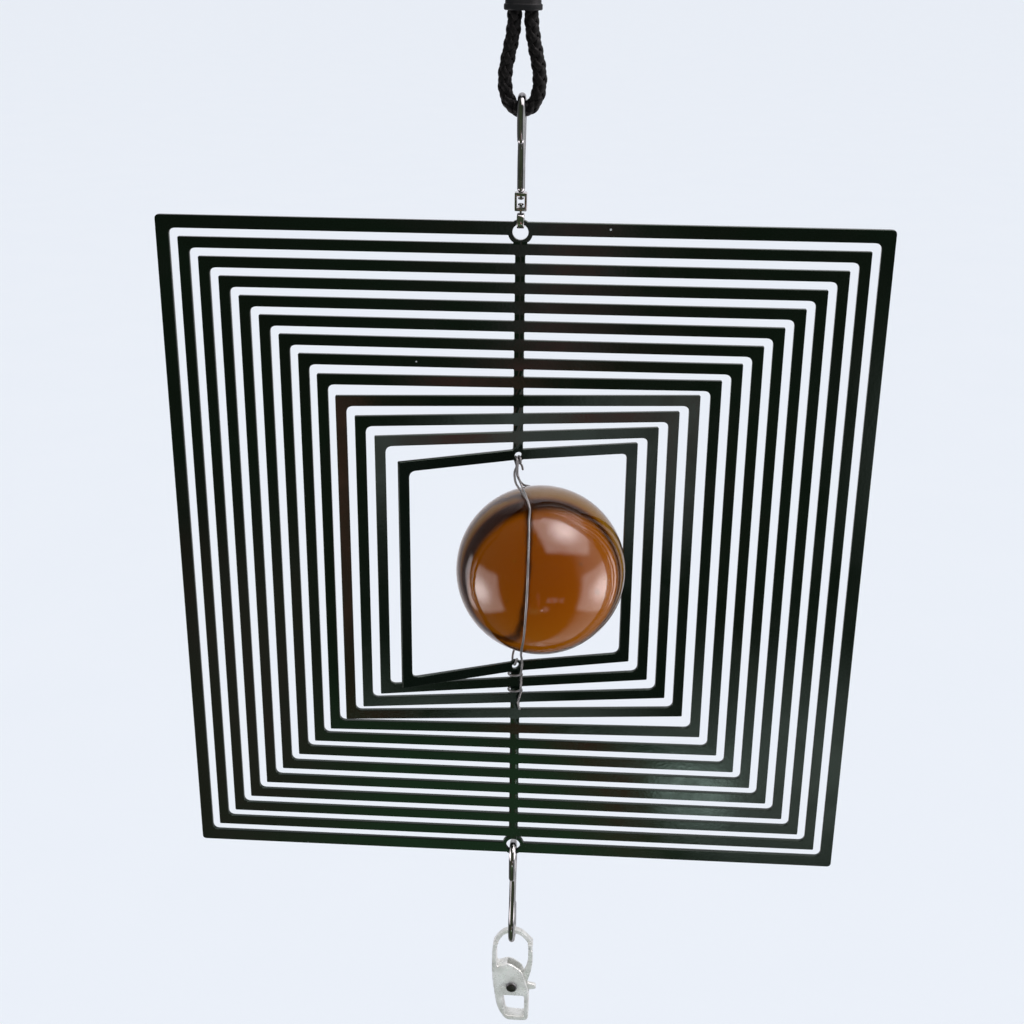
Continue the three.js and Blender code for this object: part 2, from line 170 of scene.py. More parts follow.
def wound(loop, hole):
    """The loop, anticlockwise for an outline and clockwise for a hole."""
    return loop[::-1] if (area(loop) > 0) == hole else loop


def circle(x, z, radius, count=40):
    angles = [2 * pi * step / count for step in range(count)]
    return [Vector((x + radius * cos(a), z + radius * sin(a))) for a in angles]


def inset(loop, distance):
    """The loop moved into the material, which lies on its left."""
    moved = []
    for index, point in enumerate(loop):
        before = (point - loop[index - 1]).normalized()
        after = (loop[(index + 1) % len(loop)] - point).normalized()
        left_before = Vector((-before.y, before.x))
        left_after = Vector((-after.y, after.x))
        middle = left_before + left_after
        moved.append(point + middle * distance / (1 + left_before.dot(left_after)))
    return moved


def arc(x, y, z, radius, start, end, count):
    """A circular arc in a vertical plane at x; angles in degrees from +Y towards +Z."""
    angles = [radians(start + (end - start) * i / (count - 1)) for i in range(count)]
    return [(x, y + radius * cos(a), z + radius * sin(a)) for a in angles]


def catmull(points, per_span):
    """Points on a centripetal Catmull-Rom curve through the given ones."""
    knots = [Vector(p) for p in points]
    knots = [2 * knots[0] - knots[1]] + knots + [2 * knots[-1] - knots[-2]]
    line = []
    for p0, p1, p2, p3 in zip(knots, knots[1:], knots[2:], knots[3:]):
        t1 = sqrt((p1 - p0).length)
        t2 = t1 + sqrt((p2 - p1).length)
        t3 = t2 + sqrt((p3 - p2).length)
        for step in range(per_span):
            t = t1 + (t2 - t1) * step / per_span
            a1 = p0 * (t1 - t) / t1 + p1 * t / t1
            a2 = p1 * (t2 - t) / (t2 - t1) + p2 * (t - t1) / (t2 - t1)
            a3 = p2 * (t3 - t) / (t3 - t2) + p3 * (t - t2) / (t3 - t2)
            b1 = a1 * (t2 - t) / t2 + a2 * t / t2
            b2 = a2 * (t3 - t) / (t3 - t1) + a3 * (t - t1) / (t3 - t1)
            line.append(b1 * (t2 - t) / (t2 - t1) + b2 * (t - t1) / (t2 - t1))
    return line + [knots[-2]]


def even(line, step):
    """The same line with its points a step apart."""
    lengths = [0.0]
    for a, b in zip(line, line[1:]):
        lengths.append(lengths[-1] + (b - a).length)
    count = max(2, round(lengths[-1] / step))
    out, index = [], 0
    for number in range(count + 1):
        want = lengths[-1] * number / count
        while index < len(line) - 2 and lengths[index + 1] < want:
            index += 1
        span = lengths[index + 1] - lengths[index]
        out.append(line[index].lerp(line[index + 1], (want - lengths[index]) / span))
    return out


def frames(line):
    """The line's direction at each point, and two directions across it that don't twist."""
    tangents = []
    for i in range(len(line)):
        before, after = line[max(0, i - 1)], line[min(i + 1, len(line) - 1)]
        tangents.append((after - before).normalized())
    across = tangents[0].orthogonal().normalized()
    out = []
    for tangent in tangents:
        across = (across - tangent * across.dot(tangent)).normalized()
        out.append((across, tangent.cross(across)))
    return tangents, out


# ---- Meshes ----


def finished(name, bm, smooth=True, turn=0.0, tidy=True):
    """Makes an object of a mesh given in millimetres about the middle of the sheet.

    Shading stays as it is where smooth is None, and the faces' directions where tidy is False.
    """
    if tidy:
        bmesh.ops.recalc_face_normals(bm, faces=bm.faces)
    for face in bm.faces:
        if smooth is not None:
            face.smooth = smooth
    if turn:
        about = Matrix.Rotation(radians(turn), 3, "Z")
        bmesh.ops.rotate(bm, verts=bm.verts, cent=(0, 0, 0), matrix=about)
    for vert in bm.verts:
        vert.co = metres(*vert.co)
    mesh = bpy.data.meshes.new(name)
    bm.to_mesh(mesh)
    bm.free()
    obj = bpy.data.objects.new(name, mesh)
    bpy.context.collection.objects.link(obj)
    return obj


def add_plate(bm, loops, thick, edge, middle=0.0, rounds=3):
    """Adds a flat plate in the XZ plane whose cut edges are rounded by edge."""
    loops = [wound(loop, index > 0) for index, loop in enumerate(loops)]
    levels = []
    for step in range(rounds + 1):
        angle = pi / 2 * step / rounds
        levels.append((edge * (1 - sin(angle)), edge * (1 - cos(angle)) - thick / 2))
    levels += [(shrink, -depth) for shrink, depth in reversed(levels)]
    caps = {0: [], len(levels) - 1: []}
    for loop in loops:
        rows = []
        for shrink, depth in levels:
            flat = inset(loop, shrink)
            rows.append([bm.verts.new((p.x, middle + depth, p.y)) for p in flat])
        for level, (row, following) in enumerate(zip(rows, rows[1:])):
            for i in range(len(row)):
                j = (i + 1) % len(row)
                face = bm.faces.new((row[i], row[j], following[j], following[i]))
                face.smooth = True
        for level in caps:
            caps[level].append(rows[level])
    for rings in caps.values():
        outline = [[vert.co.copy() for vert in ring] for ring in rings]
        flat = [vert for ring in rings for vert in ring]
        for triangle in tessellate_polygon(outline):
            corners = [flat[i] for i in triangle]
            if len(set(corners)) == 3 and not bm.faces.get(corners):
                bm.faces.new(corners).smooth = False


def add_tube(bm, line, radius, sides, dome=True):
    """Adds a round bar along a line; radius is a number or a function of 0 to 1 along it."""
    tangents, across = frames(line)
    count = len(line)
    size = radius if callable(radius) else (lambda t: radius)
    rows = []

    def ring(centre, pair, r):
        angles = [2 * pi * side / sides for side in range(sides)]
        return [bm.verts.new(centre + pair[0] * r * cos(a) + pair[1] * r * sin(a)) for a in angles]

    caps = [radians(a) for a in (75, 50, 25)] if dome else []
    for a in caps:
        r = size(0)
        rows.append(ring(line[0] - tangents[0] * r * sin(a), across[0], r * cos(a)))
    for i in range(count):
        rows.append(ring(line[i], across[i], size(i / max(1, count - 1))))
    for a in reversed(caps):
        r = size(1)
        rows.append(ring(line[-1] + tangents[-1] * r * sin(a), across[-1], r * cos(a)))
    add_skin(bm, rows)


def add_skin(bm, rows):
    """Joins each row of points to the next, all round, and closes both ends."""
    for row, following in zip(rows, rows[1:]):
        for i in range(len(row)):
            j = (i + 1) % len(row)
            bm.faces.new((row[i], row[j], following[j], following[i]))
    bm.faces.new(rows[0][::-1])
    bm.faces.new(rows[-1])


def add_turned(bm, x, y, profile, sides=32, axis="Z"):
    """Adds a solid of revolution; profile is a list of (height, radius)."""
    rows = []
    for height, radius in profile:
        row = []
        for side in range(sides):
            a = 2 * pi * side / sides
            u, v = radius * cos(a), radius * sin(a)
            spot = (x + u, y + v, height) if axis == "Z" else (x + u, height, y + v)
            row.append(bm.verts.new(spot))
        rows.append(row)
    add_skin(bm, rows)


def apply_modifiers(obj):
    depsgraph = bpy.context.evaluated_depsgraph_get()
    mesh = bpy.data.meshes.new_from_object(obj.evaluated_get(depsgraph))
    obj.modifiers.clear()
    obj.data = mesh


def cut(obj, *cutters):
    """Cuts the other objects out of obj and deletes them."""
    for cutter in cutters:
        boolean = obj.modifiers.new("cut", "BOOLEAN")
        boolean.object = cutter
        boolean.solver = "EXACT"
        boolean.operation = "DIFFERENCE"
    apply_modifiers(obj)
    for cutter in cutters:
        bpy.data.objects.remove(cutter)


def soften(obj, width, segments=3, limit=30):
    """Rounds the object's sharp edges by width millimetres."""
    bevel = obj.modifiers.new("round", "BEVEL")
    bevel.width = width / 1000
    bevel.segments = segments
    bevel.limit_method = "ANGLE"
    bevel.angle_limit = radians(limit)
    bevel.use_clamp_overlap = True
    bevel.harden_normals = False
    apply_modifiers(obj)
    smooth_by_angle(obj, 35)


def smooth_by_angle(obj, angle):
    """Shades the object smooth, with an edge wherever its faces meet at more than angle degrees."""
    for face in obj.data.polygons:
        face.use_smooth = True
    bm = bmesh.new()
    bm.from_mesh(obj.data)
    for edge in bm.edges:
        edge.smooth = len(edge.link_faces) != 2 or edge.calc_face_angle() < radians(angle)
    bm.to_mesh(obj.data)
    bm.free()


def block(name, x, y, z, width, depth, height):
    bm = bmesh.new()
    bmesh.ops.create_cube(bm, size=1)
    for vert in bm.verts:
        vert.co = Vector((x + vert.co.x * width, y + vert.co.y * depth, z + vert.co.z * height))
    return finished(name, bm, smooth=False)


# ---- Materials ----


class Nodes:
    """A short way to write a node tree."""

    def __init__(self, tree):
        self.tree = tree
        tree.nodes.clear()

    def add(self, kind, inputs=None, **settings):
        node = self.tree.nodes.new(kind)
        for key, value in settings.items():
            setattr(node, key, value)
        for key, value in (inputs or {}).items():
            if isinstance(value, bpy.types.NodeSocket):
                self.tree.links.new(value, node.inputs[key])
            else:
                node.inputs[key].default_value = value
        return node

    def math(self, operation, a, b=0.0):
        return self.add("ShaderNodeMath", {0: a, 1: b}, operation=operation).outputs[0]

    def ramp(self, value, stops):
        node = self.add("ShaderNodeValToRGB", {0: value})
        elements = node.color_ramp.elements
        while len(elements) < len(stops):
            elements.new(0.5)
        for element, (position, color) in zip(elements, stops):
            element.position = position
            element.color = (*color, 1)
        return node.outputs[0]

    def noise(self, vector, scale, detail=3.0, roughness=0.5, distortion=0.0):
        inputs = {"Vector": vector, "Scale": scale, "Detail": detail}
        inputs.update({"Roughness": roughness, "Distortion": distortion})
        return self.add("ShaderNodeTexNoise", inputs).outputs["Fac"]

    def span(self, value, low, high, to_low, to_high):
        inputs = {0: value, 1: low, 2: high, 3: to_low, 4: to_high}
        return self.add("ShaderNodeMapRange", inputs).outputs[0]

    def mix(self, factor, a, b):
        node = self.add("ShaderNodeMix", data_type="RGBA")
        for key, value in ((0, factor), (6, a), (7, b)):
            if isinstance(value, bpy.types.NodeSocket):
                self.tree.links.new(value, node.inputs[key])
            elif key:
                node.inputs[key].default_value = (*value, 1)
            else:
                node.inputs[key].default_value = value
        return node.outputs[2]

    def bump(self, height, strength, distance, normal=None):
        inputs = {"Height": height, "Strength": strength, "Distance": distance}
        if normal:
            inputs["Normal"] = normal
        return self.add("ShaderNodeBump", inputs).outputs["Normal"]

    def finish(self, inputs, volume=None):
        shader = self.add("ShaderNodeBsdfPrincipled", inputs)
        output = self.add("ShaderNodeOutputMaterial", {"Surface": shader.outputs[0]})
        if volume:
            self.tree.links.new(volume, output.inputs["Volume"])


def material(name):
    made = bpy.data.materials.new(name)
    made.use_nodes = True
    nodes = Nodes(made.node_tree)
    return made, nodes, nodes.add("ShaderNodeTexCoord").outputs["Object"]


def painted_sheet():
    """Glossy green-black coating with slight waves, smears and a few specks of dust."""
    made, n, here = material("painted_sheet")
    drift = n.noise(here, 22, 2, 0.5, 0.6)
    tone = n.ramp(
        drift,
        [
            (0.30, (0.0016, 0.0022, 0.0020)),
            (0.50, (0.0016, 0.0038, 0.0026)),
            (0.64, (0.0032, 0.0038, 0.0035)),
            (0.78, (0.0070, 0.0028, 0.0025)),
        ],
    )
    cells = n.add("ShaderNodeTexVoronoi", {"Vector": here, "Scale": 95.0})
    speck = n.math("LESS_THAN", cells.outputs["Distance"], 0.022)
    chance = n.add("ShaderNodeSeparateColor", {0: cells.outputs["Color"]}).outputs[0]
    rare = n.math("GREATER_THAN", chance, 0.60)
    dust = n.math("MULTIPLY", speck, rare)
    color = n.mix(dust, tone, (0.35, 0.36, 0.36))
    smears = n.noise(here, 60, 4, 0.6, 1.2)
    rough = n.math("ADD", n.span(smears, 0.35, 0.75, 0.07, 0.17), n.math("MULTIPLY", dust, 0.5))
    waves = n.noise(here, 9, 1, 0.4)
    peel = n.noise(here, 1500, 2, 0.5)
    normal = n.bump(peel, 0.05, 0.00008, n.bump(waves, 0.35, 0.004))
    gloss = {"Specular Tint": (0.76, 1.0, 0.84, 1), "IOR": 1.5}
    n.finish({"Base Color": color, "Roughness": rough, "Normal": normal, **gloss})
    return made


def metal(name, color, dark, rough, scratch_scale, bump=0.06, metallic=1.0):
    """Plated metal with fine scratches and a cloudy, slightly uneven polish."""
    made, n, here = material(name)
    cloud = n.noise(here, 260, 3, 0.6)
    tone = n.ramp(cloud, [(0.32, dark), (0.62, color)])
    stretched = n.add("ShaderNodeMapping", {"Vector": here, "Scale": scratch_scale}).outputs[0]
    scratches = n.noise(stretched, 1.0, 4, 0.7)
    roughness = n.span(scratches, 0.3, 0.75, rough * 0.6, rough * 1.8)
    normal = n.bump(scratches, bump, 0.00006, n.bump(cloud, bump, 0.0003))
    n.finish({"Base Color": tone, "Metallic": metallic, "Roughness": roughness, "Normal": normal})
    return made


def braid():
    """Black braid with fine fibres along each strand; its few paler brown-grey fibres and patches
    are painted highlights.
    """
    made, n, here = material("braid")
    uv = n.add("ShaderNodeUVMap", uv_map="along").outputs[0]
    fibres = n.add("ShaderNodeMapping", {"Vector": uv, "Scale": (900.0, 14.0, 1.0)}).outputs[0]
    threads = n.noise(fibres, 1.0, 3, 0.6)
    # Mask for brown-grey patches that are painted highlights on the braid.
    painted_sheen_patches = n.noise(here, 420, 3, 0.6)
    # The pale stop is a painted highlight: paler brown-grey fibres where the braid's sheen would
    # show.
    dark, mid, pale = (0.002, 0.0018, 0.002), (0.006, 0.005, 0.0055), (0.045, 0.034, 0.032)
    tone = n.ramp(threads, [(0.40, dark), (0.66, mid), (0.84, pale)])
    color = n.mix(n.span(painted_sheen_patches, 0.60, 0.85, 0.0, 0.30), tone, (0.040, 0.029, 0.026))
    n.finish(
        {
            "Base Color": color,
            "Roughness": n.span(threads, 0.3, 0.7, 0.38, 0.62),
            "Normal": n.bump(threads, 0.5, 0.00025),
            "Specular IOR Level": 0.15,
            "Sheen Weight": 0.04,
            "Sheen Roughness": 0.4,
            "Sheen Tint": (0.55, 0.46, 0.44, 1),
        }
    )
    return made


def moulded(name, color, glow, rough):
    """Moulded plastic with a fine grain, scuffed a little paler in places."""
    made, n, here = material(name)
    grain = n.noise(here, 3200, 3, 0.55)
    scuff = n.noise(here, 240, 4, 0.65)
    tone = n.mix(n.span(scuff, 0.5, 0.85, 0.0, 0.4), color, glow)
    n.finish(
        {
            "Base Color": tone,
            "Roughness": n.span(scuff, 0.3, 0.7, rough * 0.85, rough * 1.2),
            "Specular IOR Level": 0.18,
            "Normal": n.bump(grain, 0.25, 0.00012),
        }
    )
    return made


def amber_glass():
    """Solid glass whose colour deepens with the thickness that is looked through."""
    made, n, here = material("amber_glass")
    swirl = n.noise(here, 38, 2, 0.5, 1.5)
    pits = n.noise(here, 900, 2, 0.5)
    normal = n.bump(pits, 0.015, 0.0002, n.bump(swirl, 0.10, 0.0012))
    tint = {"Color": (0.838, 0.667, 0.0, 1), "Density": 240.0}
    absorb = n.add("ShaderNodeVolumeAbsorption", tint)
    n.finish(
        {
            "Base Color": (1, 1, 1, 1),
            "Roughness": n.span(pits, 0.3, 0.7, 0.05, 0.12),
            "IOR": 1.51,
            "Transmission Weight": 1.0,
            "Normal": normal,
        },
        absorb.outputs[0],
    )
    return made


# ---- Camera, lights and floor ----


def add_camera():
    data = bpy.data.cameras.new("camera")
    data.lens = CAMERA_LENS
    data.sensor_width = 36
    data.clip_start = 0.005
    data.clip_end = 100
    camera = bpy.data.objects.new("camera", data)
    bpy.context.collection.objects.link(camera)
    forward = Vector(CAMERA_FORWARD).normalized()
    up = Vector(CAMERA_UP)
    up = (up - forward * up.dot(forward)).normalized()
    right = forward.cross(up)
    axes = Matrix((right, up, -forward)).transposed()
    camera.matrix_world = Matrix.Translation(metres(*CAMERA_AT)) @ axes.to_4x4()
    bpy.context.scene.camera = camera


def panel(name, at, along, width, height, watts, color):
    """A soft box aimed at the ball; at is in millimetres, along is the way its width runs.

    It is nearly four times as bright in the middle as further out, and fades towards its rim.
    """
    data = bpy.data.lights.new(name, "AREA")
    data.shape = "RECTANGLE"
    data.size = width / 1000
    data.size_y = height / 1000
    data.energy = watts
    data.color = color
    data.use_nodes = True
    n = Nodes(data.node_tree)
    place = n.add("ShaderNodeNewGeometry").outputs["Parametric"]
    spot = n.add("ShaderNodeSeparateXYZ", {0: place})
    across = [n.math("ABSOLUTE", n.math("SUBTRACT", spot.outputs[i], 0.5)) for i in (0, 1)]
    edges = n.math("MULTIPLY", *[n.span(value, 0.38, 0.5, 1.0, 0.0) for value in across])
    out = n.math("SQRT", n.math("ADD", *[n.math("MULTIPLY", value, value) for value in across]))
    fall = {0: out, 1: 0.0, 2: 0.36, 3: 1.9, 4: 0.5}
    bulb = n.add("ShaderNodeMapRange", fall, interpolation_type="SMOOTHSTEP")
    strength = n.math("MULTIPLY", edges, bulb.outputs[0])
    glow = n.add("ShaderNodeEmission", {"Strength": strength})
    n.add("ShaderNodeOutputLight", {0: glow.outputs[0]})
    light = bpy.data.objects.new(name, data)
    bpy.context.collection.objects.link(light)
    away = (Vector(at) - Vector(BALL_AT)).normalized()
    wide = Vector(along)
    wide = (wide - away * wide.dot(away)).normalized()
    axes = Matrix((wide, away.cross(wide), away)).transposed()
    light.matrix_world = Matrix.Translation(metres(*at)) @ axes.to_4x4()
    light.visible_camera = False
    light.visible_transmission = False
    light.visible_diffuse = False


def add_lights():
    warm = (1.0, 0.91, 0.92)
    panel("panel_left", (-164, -26, -58), (0, 1, 0), 225, 165, 0.54, warm)
    panel("panel_right", (175, -8, -45), (0, 1, 0), 240, 165, 0.56, warm)
    panel("panel_top", (337, -87, 661), (0.817, 0.534, -0.217), 1030, 900, 18.0, warm)


def add_floor():
    bm = bmesh.new()
    bmesh.ops.create_grid(bm, x_segments=8, y_segments=8, size=FLOOR_REACH)
    mesh = bpy.data.meshes.new("floor")
    bm.to_mesh(mesh)
    bm.free()
    floor = bpy.data.objects.new("floor", mesh)
    floor.location.z = metres(0, 0, FLOOR_Z).z
    bpy.context.collection.objects.link(floor)
    made, n, here = material("floor")
    grain = n.noise(here, 6, 3, 0.5)
    n.finish({"Base Color": n.mix(grain, (0.86, 0.885, 0.92), (0.88, 0.90, 0.93)), "Roughness": 0.9})
    mesh.materials.append(made)
    floor.visible_glossy = False
    floor.visible_transmission = False


def add_world():
    """Pale all round. Mirrors see a darker room with soft patches, and glass sees a dark ring."""
    world = bpy.data.worlds.new("studio")
    bpy.context.scene.world = world
    world.use_nodes = True
    n = Nodes(world.node_tree)
    axes = n.add("ShaderNodeTexCoord").outputs["Generated"]
    way = n.add("ShaderNodeSeparateXYZ", {0: axes}).outputs
    side = n.math("ARCTAN2", way[0], n.math("MULTIPLY", way[1], -1.0))
    height = n.math("ARCSINE", way[2])

    def patch(azimuth, elevation, wide, tall, soft):
        """1 inside a box of directions and 0 outside it; azimuth is from -Y towards +X."""
        parts = []
        for value, middle, half in ((side, azimuth, wide / 2), (height, elevation, tall / 2)):
            away = n.math("ABSOLUTE", n.math("SUBTRACT", value, radians(middle)))
            parts.append(n.span(away, radians(half - soft), radians(half + soft), 1.0, 0.0))
        return n.math("MULTIPLY", *parts)

    room = n.ramp(
        n.span(side, -pi, pi, 0.0, 1.0),
        [
            (0.0, (0.95, 0.93, 0.98)),
            (0.07, (0.70, 0.69, 0.73)),
            (0.14, (0.16, 0.16, 0.17)),
            (0.40, (0.078, 0.092, 0.052)),
            (0.50, (0.080, 0.105, 0.052)),
            (0.64, (0.050, 0.055, 0.046)),
            (0.69, (0.78, 0.78, 0.78)),
            (0.80, (0.90, 0.90, 0.91)),
            (0.86, (0.40, 0.41, 0.42)),
            (0.92, (0.60, 0.59, 0.62)),
            (1.0, (0.95, 0.93, 0.98)),
        ],
    )
    patches = [
        ((-6, -33.5, 20, 8, 2.0), (0.24, 0.48, 0.24)),
        ((-1.05, -13, 3.8, 8, 0.4), (0.50, 0.43, 0.50)),
        ((18, -18, 14, 7, 1.0), (1.05, 0.98, 1.05)),
        ((16.8, -17.5, 2.6, 5, 0.8), (1.10, 0.25, 0.25)),
        ((31, -19, 6.4, 7, 0.4), (0.78, 0.74, 0.80)),
        ((10, -31, 7, 6, 2.0), (1.15, 1.12, 1.15)),
        ((5.3, -31.8, 3.0, 0.9, 0.45), (9.0, 9.5, 10.0)),
        ((-0.55, -12.2, 0.9, 4.6, 0.4), (1.00, 0.16, 0.18)),
        ((-1.4, -16.2, 1.0, 3.4, 0.4), (1.10, 0.14, 0.16)),
        ((0.4, -21.5, 2.8, 10, 0.9), (0.95, 0.34, 0.26)),
        ((1.5, -31, 2.0, 6, 1.0), (0.75, 0.18, 0.14)),
        ((-14.5, -28.5, 7, 12, 1.5), (0.34, 0.24, 0.20)),
    ]
    color = room
    for box, tint in patches:
        color = n.mix(patch(*box), color, tint)

    # What the glass shows: pale in the middle, a dark ring round it and tinted light beyond.
    middle = Vector((-0.06, 0.992, -0.113)).normalized()
    dot = n.add("ShaderNodeVectorMath", {0: axes, 1: middle}, operation="DOT_PRODUCT")
    off = n.math("ARCCOSINE", dot.outputs["Value"])
    heading = n.math("SUBTRACT", way[0], way[2])
    thick = n.span(heading, 0.2, 1.2, 0.0, radians(9))
    ring = n.math(
        "MULTIPLY",
        n.span(n.math("ADD", off, thick), radians(51), radians(57), 0.0, 1.0),
        n.span(off, radians(59), radians(65), 1.0, 0.0),
    )
    pale = (0.93, 0.955, 1.0)
    lit = n.math("SUBTRACT", 0.84, n.math("MULTIPLY", way[0], 0.45))
    beyond = n.span(off, radians(60), radians(66), 0.0, 1.0)
    seen = n.mix(ring, n.mix(beyond, pale, (0.70, 1.10, 0.98)), (0.06, 0.045, 0.01))
    through = n.add("ShaderNodeBackground", {"Color": seen, "Strength": lit})
    plain = n.add("ShaderNodeBackground", {"Color": (*pale, 1), "Strength": 1.03})
    mirrored = n.add("ShaderNodeBackground", {"Color": color, "Strength": 1.0})
    path = n.add("ShaderNodeLightPath").outputs
    open_air = n.add(
        "ShaderNodeMixShader",
        {0: path["Is Glossy Ray"], 1: plain.outputs[0], 2: mirrored.outputs[0]},
    )
    whole = n.add(
        "ShaderNodeMixShader",
        {0: path["Is Transmission Ray"], 1: open_air.outputs[0], 2: through.outputs[0]},
    )
    n.add("ShaderNodeOutputWorld", {"Surface": whole.outputs[0]})
    bpy.context.scene.view_settings.view_transform = "Standard"


def dress(obj, body, made, slot, *nodes):
    """Gives a piece its material and body, and hides the CAD nodes that it stands for; slot is not
    used.
    """
    obj.data.materials.clear()
    obj.data.materials.append(made)
    if nodes:
        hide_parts(*nodes)
    if body:
        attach(obj, body)
    return obj


# ---- Cord ----

CORD_HALF_ROUTE = [
    (-CORD_X, 0, 123.3),
    (-CORD_X, 0, 120.5),
    (-CORD_X, 0, 117.6),
    (-1.7, 0, 115.2),
    (-2.05, 0, 112.4),
    (-2.7, 0, 109.2),
    (-3.3, 0, 106.2),
    (-3.45, 0, 103.6),
    (-3.0, 0, 101),
    (-1.75, 0, 99.05),
    (0, 0, BIGHT_Z),
]


def make_cord():
    """A braid of eight flat strands, over one and under one, round a thin core."""
    mirrored = [(-x, y, z) for x, y, z in reversed(CORD_HALF_ROUTE[:-1])]
    line = even(catmull(CORD_HALF_ROUTE + mirrored, 12), 0.22)
    _, across = frames(line)
    ways, pitch, sides = 4, 11.0, 10
    wide, thin = 0.62, 0.27
    ride_r, sway = CORD_R - 0.42, 0.17
    core_r = CORD_R * 0.70
    bm = bmesh.new()
    along = bm.loops.layers.uv.new("along")
    length = 0.0
    spots = [0.0]
    for a, b in zip(line, line[1:]):
        length += (b - a).length
        spots.append(length)
    for way in (1, -1):
        for strand in range(ways):
            rows = []
            for index, centre in enumerate(line):
                turn = way * 2 * pi * spots[index] / pitch + 2 * pi * strand / ways
                weave = cos(ways * 2 * pi * spots[index] / pitch)
                out = across[index][0] * cos(turn) + across[index][1] * sin(turn)
                tangent = across[index][0].cross(across[index][1])
                round_it = tangent.cross(out)
                radius = ride_r + way * sway * weave
                lean = tangent + round_it * (way * 2 * pi * radius / pitch)
                lean.normalize()
                flat = lean.cross(out).normalized()
                middle = centre + out * radius
                row = []
                for side in range(sides):
                    a = 2 * pi * side / sides
                    row.append(bm.verts.new(middle + flat * wide * cos(a) + out * thin * sin(a)))
                rows.append(row)
            for index, (row, following) in enumerate(zip(rows, rows[1:])):
                for i in range(sides):
                    j = (i + 1) % sides
                    face = bm.faces.new((row[i], row[j], following[j], following[i]))
                    places = ((i, 0), (i + 1, 0), (i + 1, 1), (i, 1))
                    for loop, (u, v) in zip(face.loops, places):
                        loop[along].uv = (0.02 * u / sides + 0.1 * strand, (spots[index + v]) / 10)
            bm.faces.new(rows[0][::-1])
            bm.faces.new(rows[-1])
    add_tube(bm, line, core_r, 12, dome=False)
    cord = finished("cord_braid", bm)
    dress(cord, "hanger", braid(), "cord", "cord_loop")


# ---- The cut sheet ----


def outer_half(ring):
    """Half the outer side of a square; 0 is the outermost square."""
    return HALF if ring == 0 else HALF - OUTER_BAR - SLOT - (ring - 1) * (BAR + SLOT)


def inner_half(ring):
    """Half the side of a square's window."""
    return outer_half(ring) - (OUTER_BAR if ring == 0 else BAR)


def square(half, corner, reach, top=None):
    """A square whose top and bottom carry a neck's stub that reaches out or in, or top's points."""
    side = NECK / 2
    head = []
    if reach:
        root = 0.3
        head = [(side, half, root), (side, half + reach, 0)]
        head += [(-side, half + reach, 0), (-side, half, root)]
    if top:
        head = [(x, z, 0) for x, z in top]
    foot = [(-x, -z, rounding) for x, z, rounding in head]
    corners = [(half, half, corner), *head, (-half, half, corner)]
    corners += [(-half, -half, corner), *foot, (half, -half, corner)]
    return rounded(corners)


def boss_bump(centre, radius, edge, count=14, floor=None):
    """Points from right to left along a boss's circle where it stands beyond a straight edge."""
    away = edge - centre
    start = atan2(away, sqrt(radius**2 - away**2))
    end = (pi - start) if edge > centre else (-pi - start)
    points = []
    for step in range(count + 1):
        angle = start + (end - start) * step / count
        x, z = radius * cos(angle), centre + radius * sin(angle)
        points.append((x, z if floor is None else max(z, floor)))
    return points


def ring_loops(ring):
    """A square's outline, its window and its round holes."""
    corner = 1.0 if ring == 0 else 0.3
    out = STUB if ring > 1 else 0
    inward = -STUB if 0 < ring < RINGS - 1 else 0
    outer_top = inner_top = None
    holes = []
    if ring == 0:
        outer_top = boss_bump(HOLE_Z, BOSS_R, outer_half(0))
        floor = outer_half(1) + TOP_NECK_REACH
        inner_top = boss_bump(HOLE_Z, BOSS_R, inner_half(0), 18, floor)
        holes = [circle(0, side * HOLE_Z, HOLE_R) for side in (1, -1)]
    if ring == RINGS - 1:
        inner_top = boss_bump(WIRE_HOLE_Z, WIRE_BOSS_R, inner_half(ring))
        holes = [circle(0, side * WIRE_HOLE_Z, WIRE_HOLE_R, 32) for side in (1, -1)]
    outline = square(outer_half(ring), corner, out, outer_top)
    return [outline, square(inner_half(ring), 1.5, inward, inner_top), *holes]


def add_neck(bm, low, high, turn_low, turn_high, side, width):
    """A short strip between two squares, already twisted from one to the other."""
    thick, edge, rounds = SHEET - NECK_SHRINK, SHEET_EDGE, 3
    wide = width - NECK_SHRINK
    section = []
    for cx, cy, start in ((1, 1, 0), (-1, 1, 90), (-1, -1, 180), (1, -1, 270)):
        for step in range(rounds + 1):
            a = radians(start + 90 * step / rounds)
            x = cx * (wide / 2 - edge) + edge * cos(a)
            y = cy * (thick / 2 - edge) + edge * sin(a)
            section.append((x, y))
    steps = 14
    rows = []
    for step in range(steps + 1):
        z = low - NECK_LAP + (high - low + 2 * NECK_LAP) * step / steps
        t = min(1.0, max(0.0, (z - low) / (high - low)))
        turn = radians(turn_low + (turn_high - turn_low) * t * t * (3 - 2 * t))
        row = []
        for x, y in section:
            spot = (x * cos(turn) - y * sin(turn), x * sin(turn) + y * cos(turn), side * z)
            row.append(bm.verts.new(spot))
        rows.append(row)
    add_skin(bm, rows)


def fold_sides(bm):
    """Bends the two sides of a square forward about vertical lines at the edges of its necks."""
    line, angle = NECK / 2, radians(FOLD)
    for side in (-1, 1):
        geometry = [*bm.verts, *bm.edges, *bm.faces]
        at, normal = (side * line, 0, 0), (1, 0, 0)
        bmesh.ops.bisect_plane(bm, geom=geometry, dist=1e-5, plane_co=at, plane_no=normal)
    for vert in bm.verts:
        reach = abs(vert.co.x) - line
        if reach < 1e-4:
            continue
        side, depth = (1 if vert.co.x > 0 else -1), vert.co.y
        vert.co.x = side * (line + reach * cos(angle) + depth * sin(angle))
        vert.co.y = depth * cos(angle) - reach * sin(angle)


